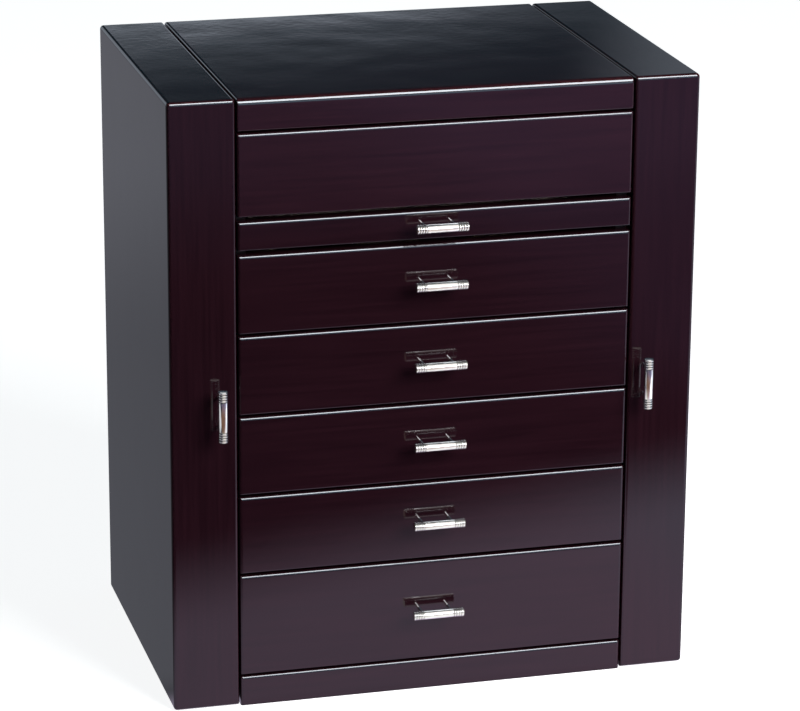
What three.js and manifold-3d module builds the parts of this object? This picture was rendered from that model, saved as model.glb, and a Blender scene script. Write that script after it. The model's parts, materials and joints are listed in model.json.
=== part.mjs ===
// Tabletop jewelry armoire: a lift-up mirror lid over a lined tray, six drawers below it, and
// two full-height wings that swing out on piano hinges at the back. Millimetres, +Z up,
// +X right, the front faces -Y. The origin is on the floor, centred under the whole object.
import * as THREE from "three";
import { mergeVertices } from "three/addons/utils/BufferGeometryUtils.js";
import Module from "manifold-3d";

const wasm = await Module();
wasm.setup();

// ------------------------------------------------------------------ driving dimensions
const WIDTH = 445;
const DEPTH = 292; // wooden front faces to wooden back faces
const HEIGHT = 520;
const WING_WIDTH = 55.5;
const SEAM = 1.5; // between each wing and the centre
const WING_LIFT = 0.8; // the wings hang clear of what the case stands on
const GAP = 0.3; // between pieces that are glued or screwed together
const PAST = 1; // how far a cutting shape runs past the face that it cuts

// The centre front from the floor up: the plinth, then each row with the gap below it.
const PLINTH_HEIGHT = 25.7;
const ROWS = [
  { name: "drawer_6", gap: 2.5, height: 87 },
  { name: "drawer_5", gap: 3, height: 66 },
  { name: "drawer_4", gap: 3, height: 66 },
  { name: "drawer_3", gap: 3, height: 66 },
  { name: "drawer_2", gap: 3, height: 65.2 },
  { name: "drawer_1", gap: 4.8, height: 23.3 },
  { name: "fascia", gap: 4.7, height: 68 },
];
const LID_GAP = 2.3;

const FRONT_THICK = 12; // drawer fronts, fascia and plinth
const FRONT_ROUND = 2.5;
const LID_ROUND = 5;
const WING_ROUND = 3.2;
const WING_EASE = 1.2; // the part of that rounding left for the wing's top and bottom edges
const ARC_STEPS = 2; // straight steps in each quarter round

const WALL_THICK = 9;
const BACK_THICK = 6;
const FLOOR_THICK = 12;
const TRAY_FLOOR = { rise: 1, thick: 6 }; // its underside above the fascia's lower edge

const BOX = { play: 1.5, lift: 3, drop: 5, wall: 5, floor: 3, back: 6 };
const TONGUE = { reach: 5, height: 5, play: 0.5, overrun: 2 };
const PAD_THICK = 2;
const DIVIDER_THICK = 3;
const DIVIDER_DROP = 12; // from a drawer box's upper edge down to its dividers
const COMPARTMENTS = { drawer_2: [3, 2], drawer_3: [3, 1] }; // columns and rows; other drawers are open
const TRAY_PARTITION = { x: 52, height: 34 };

const WING = { side: 8, front: 10, rail: 10, back: 8, lining: 2 };
const HOOK_RAIL = { height: 14, depth: 10, drop: 34, hooks: 6, wire: 1.3 };
const HOOK_BEND = [ // along a hook's wire: how far out from the rail's face, and above its middle
  { out: -2, rise: 0 },
  { out: 6, rise: -1 },
  { out: 12.8, rise: -4 },
  { out: 17, rise: 0.5 },
  { out: 15.3, rise: 5 },
];
const POCKET = { height: 118, depth: 24, margin: 16, cloth: 1.6, rise: 3 };

const PULL = { length: 43, radius: 4, centres: 25, post: 1.25, reach: 20, rise: 1 };
const BEADS = { count: 4, pitch: 2.1, depth: 0.8, ease: 0.5, run: 0.6, waist: 0.2 };
const WING_PULL_INSET = { left: 15.2, right: 12.5 }; // from the wing's inner edge to the pull's axis

const HINGE = { knuckle: 3, bore: 1.35, pin: 1.2, leafThick: 1.2, offset: 3.5, clear: 0.4, neck: 0.5 };
const WING_HINGE = { low: 30, length: 450, knuckles: 17, leafWidth: 18 };
const LID_HINGE = { length: 50, knuckles: 5, centre: 105, leafWidth: 15 };

const MAGNET = { radius: 4, thick: 3, setBack: 30, rise: 6.3 };

const MIRROR = { border: 20, thick: 3, recess: 7, frame: 16 };
const RING_ROLLS = { count: 12, height: 22, slit: 0.8, uncut: 3.2 };

// ------------------------------------------------------------------ derived places
const HINGE_REACH = HINGE.offset + HINGE.knuckle; // the knuckles stand this far behind the back
const FRONT = (PULL.reach - DEPTH - HINGE_REACH) / 2; // y of the wooden front plane
const CENTRE_HALF = WIDTH / 2 - WING_WIDTH - SEAM; // half of the centre's width
const INNER_HALF = CENTRE_HALF - WALL_THICK; // half of the space between the case walls
const SEAM_HALF = CENTRE_HALF + SEAM / 2; // x of the wing hinge pins
const BOX_END = DEPTH - BACK_THICK - BOX.back; // rear of the drawer boxes, from the front plane

let top = PLINTH_HEIGHT;
const rows = {};
for (const row of ROWS) {
  rows[row.name] = { low: top + row.gap, height: row.height };
  top += row.gap + row.height;
}
const CASE_TOP = top;
const LID_LOW = CASE_TOP + LID_GAP;
const LID_THICK = HEIGHT - LID_LOW;
const TRAY_LOW = rows.fascia.low + TRAY_FLOOR.rise;
const TRAY_TOP = TRAY_LOW + TRAY_FLOOR.thick;

// ------------------------------------------------------------------ materials
function finish(color, roughness, metalness) {
  return new THREE.MeshStandardMaterial({ color, roughness, metalness });
}
const lacquer = () => finish(0x2b191f, 0.22, 0);
const board = () => finish(0x35262a, 0.6, 0);
const velvet = () => finish(0xcdbfa9, 0.95, 0);
const polished = () => finish(0xc9cbd0, 0.15, 1);
const mirrorGlass = () => finish(0xe8eef2, 0.02, 1);
const magnetSteel = () => finish(0x8d9093, 0.35, 1);

// ------------------------------------------------------------------ solids
const WELD = 1e-4; // points closer than this become one

function merged(geometry) {
  const bare = geometry.clone();
  bare.deleteAttribute("normal");
  bare.deleteAttribute("uv");
  return mergeVertices(bare, WELD);
}

function toSolid(geometry) {
  const closed = merged(geometry);
  return new wasm.Manifold(new wasm.Mesh({
    numProp: 3,
    vertProperties: Float32Array.from(closed.attributes.position.array),
    triVerts: Uint32Array.from(closed.index.array),
  }));
}

function toGeometry(solid) {
  const mesh = solid.getMesh();
  const geometry = new THREE.BufferGeometry();
  geometry.setAttribute("position", new THREE.BufferAttribute(mesh.vertProperties, 3));
  geometry.setIndex(new THREE.BufferAttribute(mesh.triVerts, 1));
  geometry.computeVertexNormals();
  return geometry;
}

function cut(body, ...tools) {
  return toGeometry(tools.reduce((rest, tool) => rest.subtract(toSolid(tool)), toSolid(body)));
}

function join(body, ...others) {
  return toGeometry(others.reduce((whole, other) => whole.add(toSolid(other)), toSolid(body)));
}

function common(body, other) {
  return toGeometry(toSolid(body).intersect(toSolid(other)));
}

// A box between two opposite corners, given in any order.
function box(x0, x1, y0, y1, z0, z1) {
  const geometry = new THREE.BoxGeometry(Math.abs(x1 - x0), Math.abs(y1 - y0), Math.abs(z1 - z0));
  return geometry.translate((x0 + x1) / 2, (y0 + y1) / 2, (z0 + z1) / 2);
}

// Extrusion settings for a piece of a whole thickness whose end faces have rounded edges.
function rounded(thick, round) {
  return {
    depth: thick - 2 * round,
    bevelThickness: round,
    bevelSize: round,
    bevelSegments: ARC_STEPS,
  };
}

// A board from z 0 up, lying on its low corner, with the edges of both faces rounded.
function softSlab(width, depth, thick, round) {
  const flat = new THREE.Shape();
  flat.moveTo(round, round);
  flat.lineTo(width - round, round);
  flat.lineTo(width - round, depth - round);
  flat.lineTo(round, depth - round);
  return new THREE.ExtrudeGeometry(flat, rounded(thick, round)).translate(0, 0, round);
}

// The same board standing up: its face is in XZ and its thickness runs to +Y.
function softFront(width, thick, height, round) {
  return softSlab(width, height, thick, round).rotateX(Math.PI / 2).translate(-width / 2, thick, 0);
}

function mesh(name, geometry, material) {
  const piece = new THREE.Mesh(merged(geometry), material);
  piece.name = name;
  return piece;
}

function group(x, y, z, ...pieces) {
  const whole = new THREE.Group();
  whole.position.set(x, y, z);
  whole.add(...pieces);
  return whole;
}

// ------------------------------------------------------------------ pulls
// A bar along Z on two thin posts, standing off the plane y = 0 towards -Y. Each end of the
// bar is turned into a row of bead rings.
const BAR_SIDES = 10;
const POST_SIDES = 8;

function pullGeometry() {
  const half = PULL.length / 2;
  const profile = [new THREE.Vector2(0, -half), new THREE.Vector2(PULL.radius - BEADS.ease, -half)];
  for (let bead = 0; bead < BEADS.count; bead += 1) {
    const start = -half + bead * BEADS.pitch;
    profile.push(new THREE.Vector2(PULL.radius, start + BEADS.pitch / 2));
    profile.push(new THREE.Vector2(PULL.radius - BEADS.depth, start + BEADS.pitch));
  }
  const plain = -half + BEADS.count * BEADS.pitch + BEADS.run;
  profile.push(new THREE.Vector2(PULL.radius - BEADS.waist, plain));
  const mirrored = profile.map((point) => new THREE.Vector2(point.x, -point.y)).reverse();
  const bar = new THREE.LatheGeometry([...profile, ...mirrored], BAR_SIDES).rotateX(Math.PI / 2);
  const axis = PULL.reach - PULL.radius;
  const posts = [-1, 1].map((end) => {
    const post = new THREE.CylinderGeometry(PULL.post, PULL.post, axis - GAP, POST_SIDES);
    return post.translate(0, -(axis + GAP) / 2, (end * PULL.centres) / 2);
  });
  return join(bar.translate(0, -axis, 0), ...posts);
}

function verticalPull(name, x, z) {
  const pull = mesh(name, pullGeometry(), polished());
  pull.position.set(x, 0, z);
  return pull;
}

function levelPull(name, z) {
  const pull = mesh(name, pullGeometry(), polished());
  pull.rotation.y = Math.PI / 2;
  pull.position.set(0, 0, z);
  return pull;
}

// ------------------------------------------------------------------ hinges
const KNUCKLE_SIDES = 12;

function circle(radius, sides) {
  const outline = new THREE.Shape();
  for (let side = 0; side < sides; side += 1) {
    const turn = (2 * Math.PI * side) / sides;
    const method = side === 0 ? "moveTo" : "lineTo";
    outline[method](radius * Math.cos(turn), radius * Math.sin(turn));
  }
  return outline;
}

// One leaf of a hinge whose pin runs along Z from 0 to the hinge's length. Its flat plate lies
// at the hinge's foot, towards the given direction along X. The fixed leaf has the odd knuckles
// and the pin; the moving leaf has the even ones, bored to turn on that pin.
function leafGeometry(hinge, towards, fixed) {
  const foot = -HINGE.offset + GAP;
  const face = foot + HINGE.leafThick;
  const clear = HINGE.knuckle + HINGE.clear;
  const plate = box(towards * clear, towards * hinge.leafWidth, foot, face, 0, hinge.length);
  const pitch = hinge.length / hinge.knuckles;
  const additions = [];
  for (let place = fixed ? 0 : 1; place < hinge.knuckles; place += 2) {
    const outline = circle(HINGE.knuckle, KNUCKLE_SIDES);
    if (!fixed) {
      outline.holes.push(circle(HINGE.bore, KNUCKLE_SIDES));
    }
    const start = place * pitch + GAP / 2;
    const length = pitch - GAP;
    const options = { depth: length, bevelEnabled: false };
    additions.push(new THREE.ExtrudeGeometry(outline, options).translate(0, 0, start));
    additions.push(box(0, towards * (clear + HINGE.neck), foot, face, start, start + length));
  }
  if (fixed) {
    const pin = new THREE.CylinderGeometry(HINGE.pin, HINGE.pin, hinge.length, KNUCKLE_SIDES);
    additions.push(pin.rotateX(Math.PI / 2).translate(0, 0, hinge.length / 2));
  }
  return join(plate, ...additions);
}

function wingLeaf(name, side, fixed) {
  const leaf = mesh(name, leafGeometry(WING_HINGE, fixed ? -side : side, fixed), polished());
  leaf.position.set(side * SEAM_HALF, FRONT + DEPTH + HINGE.offset, WING_HINGE.low);
  return leaf;
}

function lidLeaf(name, side, fixed) {
  const leaf = mesh(name, leafGeometry(LID_HINGE, fixed ? 1 : -1, fixed), polished());
  const start = side * LID_HINGE.centre - LID_HINGE.length / 2;
  leaf.rotation.y = Math.PI / 2;
  leaf.position.set(start, FRONT + DEPTH + HINGE.offset, CASE_TOP + LID_GAP / 2);
  return leaf;
}

// ------------------------------------------------------------------ case
// A side wall of the case, with a dado for each drawer's tongue on its inner face, and a
// blind hole low on its outer face for the magnet that holds the wing shut.
function caseWall(name, side) {
  const outer = side * CENTRE_HALF;
  const inner = side * INNER_HALF;
  const dadoDepth = TONGUE.reach - BOX.play + TONGUE.play;
  const dadoHalf = TONGUE.height / 2 + TONGUE.play;
  const wall = box(outer, inner, FRONT_THICK + GAP, DEPTH, 0, CASE_TOP);
  const dadoEnd = BOX_END + TONGUE.overrun;
  const dados = drawerRows().map((row) => {
    const centre = row.low + row.height / 2;
    const floor = inner + side * dadoDepth;
    return box(inner - side * PAST, floor, 0, dadoEnd, centre - dadoHalf, centre + dadoHalf);
  });
  const magnetHole = magnetDisc(side, MAGNET.radius + GAP, MAGNET.thick + 2 * GAP, -PAST);
  return mesh(name, cut(wall, ...dados, magnetHole), board());
}

// A disc across X between two depths into a case wall, opposite the wing's bottom rail.
const DISC_SIDES = 16;

function magnetDisc(side, radius, deep, shallow) {
  const disc = new THREE.CylinderGeometry(radius, radius, deep - shallow, DISC_SIDES).rotateZ(Math.PI / 2);
  const x = side * (CENTRE_HALF - (deep + shallow) / 2);
  return disc.translate(x, MAGNET.setBack, MAGNET.rise);
}

function magnet(name, side) {
  return mesh(name, magnetDisc(side, MAGNET.radius, GAP + MAGNET.thick, GAP), magnetSteel());
}

function drawerRows() {
  return ROWS.filter((row) => row.name.startsWith("drawer")).map((row) => rows[row.name]);
}

function caseBack() {
  const half = INNER_HALF - GAP;
  return mesh("case_back", box(-half, half, DEPTH - BACK_THICK, DEPTH, 0, CASE_TOP), board());
}

function caseFloor() {
  const half = INNER_HALF - GAP;
  const floor = box(-half, half, FRONT_THICK + GAP, DEPTH - BACK_THICK - GAP, 0, FLOOR_THICK);
  return mesh("case_floor", floor, board());
}

function plinth() {
  return mesh("plinth", softFront(2 * CENTRE_HALF, FRONT_THICK, PLINTH_HEIGHT, FRONT_ROUND), lacquer());
}

function fascia() {
  const front = softFront(2 * CENTRE_HALF, FRONT_THICK, rows.fascia.height, FRONT_ROUND);
  return mesh("fascia", front.translate(0, 0, rows.fascia.low), lacquer());
}

function trayFloor() {
  const half = INNER_HALF - GAP;
  const back = DEPTH - BACK_THICK - GAP;
  return mesh("tray_floor", box(-half, half, FRONT_THICK + GAP, back, TRAY_LOW, TRAY_TOP), board());
}

// The tray's lined insert: a floor pad with two partitions, and one across the right third.
function trayDividers() {
  const half = INNER_HALF - 2 * GAP;
  const near = FRONT_THICK + 2 * GAP;
  const far = DEPTH - BACK_THICK - 2 * GAP;
  const low = TRAY_TOP + GAP;
  const high = low + TRAY_PARTITION.height;
  const thin = DIVIDER_THICK / 2;
  const plates = [-1, 1].map((side) => {
    const x = side * TRAY_PARTITION.x;
    return box(x - thin, x + thin, near, far, low, high);
  });
  const middle = (near + far) / 2;
  plates.push(box(TRAY_PARTITION.x, half, middle - thin, middle + thin, low, high));
  return mesh("tray_dividers", join(box(-half, half, near, far, low, low + PAD_THICK), ...plates), velvet());
}

// Foam ring rolls in the tray's left third: half-round rows with slits between them.
const ROLL_STEPS = 4;

function trayRingRolls() {
  const near = FRONT_THICK + 4 * GAP;
  const far = DEPTH - BACK_THICK - 4 * GAP;
  const pitch = (far - near) / RING_ROLLS.count;
  const radius = (pitch - RING_ROLLS.slit) / 2;
  const outline = new THREE.Shape();
  outline.moveTo(near, 0);
  for (let roll = 0; roll < RING_ROLLS.count; roll += 1) {
    const centre = near + (roll + 0.5) * pitch;
    for (let step = 0; step <= ROLL_STEPS; step += 1) {
      const turn = Math.PI * (1 - step / ROLL_STEPS);
      const height = RING_ROLLS.height - radius + radius * Math.sin(turn);
      outline.lineTo(centre + radius * Math.cos(turn), height);
    }
    if (roll < RING_ROLLS.count - 1) {
      outline.lineTo(centre + radius, RING_ROLLS.uncut);
      outline.lineTo(centre + radius + RING_ROLLS.slit, RING_ROLLS.uncut);
    }
  }
  outline.lineTo(far, 0);
  const length = INNER_HALF - TRAY_PARTITION.x - DIVIDER_THICK / 2 - 4 * GAP;
  const rolls = new THREE.ExtrudeGeometry(outline, { depth: length, bevelEnabled: false });
  rolls.rotateX(Math.PI / 2).rotateZ(Math.PI / 2);
  const low = TRAY_TOP + PAD_THICK + 2 * GAP;
  return mesh("tray_ring_rolls", rolls.translate(-INNER_HALF + 3 * GAP, 0, low), velvet());
}

function caseGroup() {
  return group(
    0, FRONT, 0,
    caseWall("case_wall_left", -1),
    caseWall("case_wall_right", 1),
    caseBack(),
    caseFloor(),
    plinth(),
    fascia(),
    trayFloor(),
    trayDividers(),
    trayRingRolls(),
    magnet("wing_magnet_left", -1),
    magnet("wing_magnet_right", 1),
  );
}

// ------------------------------------------------------------------ lid
// The lid is recessed underneath for the mirror and the moulding that holds it.
function lidGroup() {
  const half = CENTRE_HALF;
  const slab = softSlab(2 * half, DEPTH, LID_THICK, LID_ROUND).translate(-half, 0, 0);
  const side = half - MIRROR.border;
  const near = MIRROR.border;
  const far = DEPTH - MIRROR.border;
  const panel = cut(slab, box(-side, side, near, far, -PAST, MIRROR.recess));
  const glassLow = MIRROR.recess - MIRROR.thick - GAP;
  const glass = box(-side + GAP, side - GAP, near + GAP, far - GAP, glassLow, glassLow + MIRROR.thick);
  const rim = box(-side + GAP, side - GAP, near + GAP, far - GAP, GAP, glassLow - GAP);
  const inner = MIRROR.frame;
  const window = box(-side + inner, side - inner, near + inner, far - inner, -PAST, MIRROR.recess);
  return group(
    0, FRONT, LID_LOW,
    mesh("lid_panel", panel, lacquer()),
    mesh("lid_mirror", glass, mirrorGlass()),
    mesh("mirror_frame", cut(rim, window), lacquer()),
  );
}

// ------------------------------------------------------------------ drawers
// The open box: sides, back, sub-front and bottom, with a tongue along each side that runs in
// the case wall's dado.
function drawerBox(name, height) {
  const half = INNER_HALF - BOX.play;
  const near = FRONT_THICK + GAP;
  const boxTop = height - BOX.drop;
  const outer = box(-half, half, near, BOX_END, BOX.lift, boxTop);
  const hollow = box(
    -half + BOX.wall, half - BOX.wall,
    near + BOX.wall, BOX_END - BOX.wall,
    BOX.lift + BOX.floor, boxTop + PAST,
  );
  const tongues = [-1, 1].map((side) => box(
    side * (half - PAST), side * (half + TONGUE.reach),
    near, BOX_END,
    (height - TONGUE.height) / 2, (height + TONGUE.height) / 2,
  ));
  return mesh(name, cut(join(outer, ...tongues), hollow), board());
}

// The lined insert: a pad, with dividers where the drawer has compartments.
function drawerInsert(name, row, height) {
  const half = INNER_HALF - BOX.play - BOX.wall - GAP;
  const near = FRONT_THICK + BOX.wall + 2 * GAP;
  const far = BOX_END - BOX.wall - GAP;
  const low = BOX.lift + BOX.floor + GAP;
  const pad = box(-half, half, near, far, low, low + PAD_THICK);
  const [columns, lanes] = COMPARTMENTS[row] ?? [1, 1];
  const thin = DIVIDER_THICK / 2;
  const dividerTop = height - BOX.drop - DIVIDER_DROP;
  const plates = [];
  for (let column = 1; column < columns; column += 1) {
    const x = -half + (2 * half * column) / columns;
    plates.push(box(x - thin, x + thin, near, far, low, dividerTop));
  }
  for (let lane = 1; lane < lanes; lane += 1) {
    const y = near + ((far - near) * lane) / lanes;
    plates.push(box(-half, half, y - thin, y + thin, low, dividerTop));
  }
  return mesh(name, plates.length ? join(pad, ...plates) : pad, velvet());
}

function drawer(name) {
  const { low, height } = rows[name];
  const front = softFront(2 * CENTRE_HALF, FRONT_THICK, height, FRONT_ROUND);
  return group(
    0, FRONT, low,
    mesh(`${name}_front`, front, lacquer()),
    drawerBox(`${name}_box`, height),
    drawerInsert(`${name}_insert`, name, height),
    levelPull(`${name}_pull`, height / 2 + PULL.rise),
  );
}

// ------------------------------------------------------------------ wings
// In a wing, u counts outwards from its inner face, y back from the front plane, z up from its
// lower edge. `at` gives u a side: -1 for the left wing and 1 for the right one.
function wing(label, side) {
  const name = `wing_${label}`;
  const at = (u) => side * u;
  const tall = HEIGHT - WING_LIFT;
  const inside = WING_WIDTH - WING.side;
  const shell = wingBlock(side, tall);
  const beyond = WING_WIDTH + PAST;
  const behind = DEPTH + PAST;
  const above = tall + PAST;
  const joint = inside - GAP;
  const sidePanel = common(shell, box(at(inside), at(beyond), -PAST, behind, -PAST, above));
  const frontPanel = common(shell, box(at(-PAST), at(joint), -PAST, WING.front, -PAST, above));
  const rest = common(shell, box(at(-PAST), at(joint), WING.front + GAP, behind, -PAST, above));
  const backFace = DEPTH - WING.back;
  const hollow = box(at(-PAST), at(inside), WING.front, backFace, WING.rail, tall - WING.rail);
  const near = WING.front + 2 * GAP;
  const far = DEPTH - WING.back - GAP;
  const liningFace = inside - 2 * GAP - WING.lining;
  const lining = box(
    at(inside - 2 * GAP), at(liningFace), near, far, WING.rail + GAP, tall - WING.rail - GAP,
  );
  return group(
    side * (CENTRE_HALF + SEAM), FRONT, WING_LIFT,
    mesh(`${name}_side_panel`, sidePanel, lacquer()),
    mesh(`${name}_front_panel`, frontPanel, lacquer()),
    mesh(`${name}_frame`, cut(rest, hollow), lacquer()),
    mesh(`${name}_lining`, lining, velvet()),
    hookRail(`${name}_hook_rail`, side, liningFace - GAP, near, far, tall),
    pocket(`${name}_pocket`, side, liningFace - GAP, near, far),
    verticalPull(`${name}_pull`, at(WING_PULL_INSET[label]), tall / 2 + PULL.rise),
  );
}

// The wing's whole outer form, a block with its edges rounded.
function wingBlock(side, tall) {
  const plan = new THREE.Shape();
  const corners = [
    [WING_ROUND, WING_ROUND, Math.PI],
    [WING_WIDTH - WING_ROUND, WING_ROUND, 1.5 * Math.PI],
    [WING_WIDTH - WING_ROUND, DEPTH - WING_ROUND, 0],
    [WING_ROUND, DEPTH - WING_ROUND, 0.5 * Math.PI],
  ];
  const round = WING_ROUND - WING_EASE;
  corners.forEach(([x, y, start], corner) => {
    for (let step = 0; step <= ARC_STEPS; step += 1) {
      const turn = start + (step / ARC_STEPS) * (Math.PI / 2);
      const method = corner === 0 && step === 0 ? "moveTo" : "lineTo";
      plan[method](x + round * Math.cos(turn), y + round * Math.sin(turn));
    }
  });
  const block = new THREE.ExtrudeGeometry(plan, rounded(tall, WING_EASE)).translate(0, 0, WING_EASE);
  return side > 0 ? block : block.rotateZ(Math.PI).translate(0, DEPTH, 0);
}

// A wooden rail with a row of bent-wire hooks whose tips turn up.
const WIRE_SIDES = 6;
const WIRE_STEPS = 8;

function hookRail(name, side, face, near, far, tall) {
  const z = tall - WING.rail - HOOK_RAIL.drop;
  const u = face - HOOK_RAIL.depth;
  const rail = box(side * face, side * u, near + GAP, far - GAP, z, z + HOOK_RAIL.height);
  const middle = z + HOOK_RAIL.height / 2;
  const hooks = [];
  for (let hook = 0; hook < HOOK_RAIL.hooks; hook += 1) {
    const y = near + ((far - near) * (hook + 0.5)) / HOOK_RAIL.hooks;
    const points = HOOK_BEND.map(({ out, rise }) => new THREE.Vector3(side * (u - out), y, middle + rise));
    const options = { steps: WIRE_STEPS, extrudePath: new THREE.CatmullRomCurve3(points) };
    hooks.push(new THREE.ExtrudeGeometry(circle(HOOK_RAIL.wire, WIRE_SIDES), options));
  }
  return mesh(name, join(rail, ...hooks), polished());
}

// A fabric pocket, open at its top, low on the lining.
function pocket(name, side, face, near, far) {
  const low = WING.rail + POCKET.rise;
  const high = low + POCKET.height;
  const cloth = POCKET.cloth;
  const start = near + POCKET.margin;
  const end = far - POCKET.margin;
  const pouch = box(side * face, side * (face - POCKET.depth), start, end, low, high);
  const hollow = box(
    side * (face - cloth), side * (face - POCKET.depth + cloth),
    start + cloth, end - cloth, low + cloth, high + PAST,
  );
  return mesh(name, cut(pouch, hollow), velvet());
}

// ------------------------------------------------------------------ the armoire
const armoire = new THREE.Group();
armoire.add(caseGroup());
armoire.add(lidGroup());
for (const row of ROWS.slice(0, -1).reverse()) {
  armoire.add(drawer(row.name));
}
for (const [label, side] of [["left", -1], ["right", 1]]) {
  armoire.add(wing(label, side));
  armoire.add(wingLeaf(`wing_${label}_hinge_fixed`, side, true));
  armoire.add(wingLeaf(`wing_${label}_hinge_leaf`, side, false));
  armoire.add(lidLeaf(`lid_hinge_fixed_${label}`, side, true));
  armoire.add(lidLeaf(`lid_hinge_leaf_${label}`, side, false));
}

export default armoire;
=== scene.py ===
"""The looks of a tabletop jewelry armoire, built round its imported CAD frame. Blender 4.5, metres."""

import json
import math

import bmesh
import bpy
import numpy as np
from mathutils import Matrix, Vector, noise

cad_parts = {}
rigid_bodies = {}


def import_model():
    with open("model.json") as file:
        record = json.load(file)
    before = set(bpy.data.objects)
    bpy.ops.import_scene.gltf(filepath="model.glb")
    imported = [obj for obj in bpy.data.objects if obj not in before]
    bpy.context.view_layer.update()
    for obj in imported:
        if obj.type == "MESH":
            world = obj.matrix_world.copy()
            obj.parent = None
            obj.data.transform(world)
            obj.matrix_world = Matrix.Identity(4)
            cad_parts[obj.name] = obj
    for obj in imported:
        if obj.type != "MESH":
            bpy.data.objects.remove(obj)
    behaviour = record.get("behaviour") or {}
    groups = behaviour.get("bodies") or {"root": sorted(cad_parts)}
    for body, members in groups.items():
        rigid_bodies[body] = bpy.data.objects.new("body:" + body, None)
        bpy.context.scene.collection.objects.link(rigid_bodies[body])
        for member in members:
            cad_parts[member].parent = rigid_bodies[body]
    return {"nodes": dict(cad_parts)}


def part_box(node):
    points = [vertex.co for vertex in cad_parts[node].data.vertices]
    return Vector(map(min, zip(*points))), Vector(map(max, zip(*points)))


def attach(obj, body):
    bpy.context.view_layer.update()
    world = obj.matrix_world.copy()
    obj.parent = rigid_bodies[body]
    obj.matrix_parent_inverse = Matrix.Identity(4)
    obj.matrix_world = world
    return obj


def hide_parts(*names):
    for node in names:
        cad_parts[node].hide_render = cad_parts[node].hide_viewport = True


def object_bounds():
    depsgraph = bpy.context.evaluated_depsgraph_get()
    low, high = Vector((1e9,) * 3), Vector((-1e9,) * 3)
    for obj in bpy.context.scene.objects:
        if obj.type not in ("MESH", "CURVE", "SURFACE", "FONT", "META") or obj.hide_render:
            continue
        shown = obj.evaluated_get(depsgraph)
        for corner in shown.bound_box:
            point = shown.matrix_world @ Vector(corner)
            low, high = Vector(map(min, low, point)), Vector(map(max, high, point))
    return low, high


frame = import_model()
CAD_LOW, CAD_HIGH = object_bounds()

MM = 0.001
DRAWERS = [f"drawer_{number}" for number in range(1, 7)]
SIDES = {"left": -1, "right": 1}
INNER = {-1: "R", 1: "L"}  # which face of a wing looks inwards

# ---------------- sizes, in metres
FRONT_ROUND = 2.8 * MM  # front edges of the fascia, the plinth and the drawer fronts
FRONT_ARC = 62  # degrees of that arc left before the flat edge cuts it off
FRONT_EASE = 0.25 * MM  # on the corner that the arc ends in
FRONT_FOOT_ROUND = 1.2 * MM  # the same boards' lower edges
FRONT_RUB_AND_LIT = 0.25  # their edges get less of the red rub-through and painted light than the lid's and the wings'
LID_ROUNDS = {
    "FU": 5.3 * MM, "BU": 3 * MM, "LU": 2.4 * MM, "RU": 2.4 * MM,
    "FD": 1.6 * MM, "LF": 1.6 * MM, "RF": 1.6 * MM,
}
MOULDING_WIDTH = 16 * MM
WING_ROUND = 3.2 * MM
WING_INNER_ROUNDS = {"F": 2.6 * MM, "U": 2.4 * MM}  # where it meets the case when shut
WING_BACK_FOOT_ROUND = 1.5 * MM
WING_RAIL = 10 * MM  # thickness left above and below the wing's hollow
WING_BACK = 8 * MM  # thickness left behind it
SOFT_EDGE = 0.7 * MM  # every other board edge
ARC_STEPS = 6  # segments round each rounded edge

BAR_RADIUS = 4.0 * MM
BAR_MIDDLE_RADIUS = 3.75 * MM
BEADS = 4
BEAD_PITCH = 2.1 * MM
BEAD_GROOVE = 0.9 * MM
POST_RADIUS = 1.25 * MM
POST_CENTRES = 25.0 * MM

KNUCKLE = 3.0 * MM  # radius of the hinges' barrels
KNUCKLE_GAP = 0.15 * MM  # at each end of a knuckle
PIN_RADIUS = 1.2 * MM
PIN_HOLE = 1.35 * MM
LEAF_THICK = 1.2 * MM
SCREW_RADIUS = 2.0 * MM
BOX_GAP = 0.3 * MM  # between a drawer's box and its front
BOX_WALL = 5 * MM

HOOKS = 6
HOOK_RAIL_DEPTH = 10 * MM
HOOK_WIRE_RADIUS = 1.15 * MM
HOOK_BALL_RADIUS = 1.75 * MM

RING_ROLLS = 12
ROLL_FLANKS = (0.75, 0.5, 0.25, 0.02)  # heights down a roll's straight sides
TRAY_PARTITION = 52 * MM  # x of the tray's two long dividers, either side of the middle
COMPARTMENTS = {"drawer_2": (3, 2), "drawer_3": (3, 1)}  # columns and rows
PAD_THICK = 2 * MM
DIVIDER_HALF = 1.5 * MM  # half a divider's thickness
DIVIDER_STOP = 1.4 * MM  # from the middle of a long divider to the end of a cross one

POCKET_GATHERS = 23
POCKET_ELASTIC = 0.87  # height of the elastic, as a share of the pocket's
POCKET_CLOTH = 0.7 * MM


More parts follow.
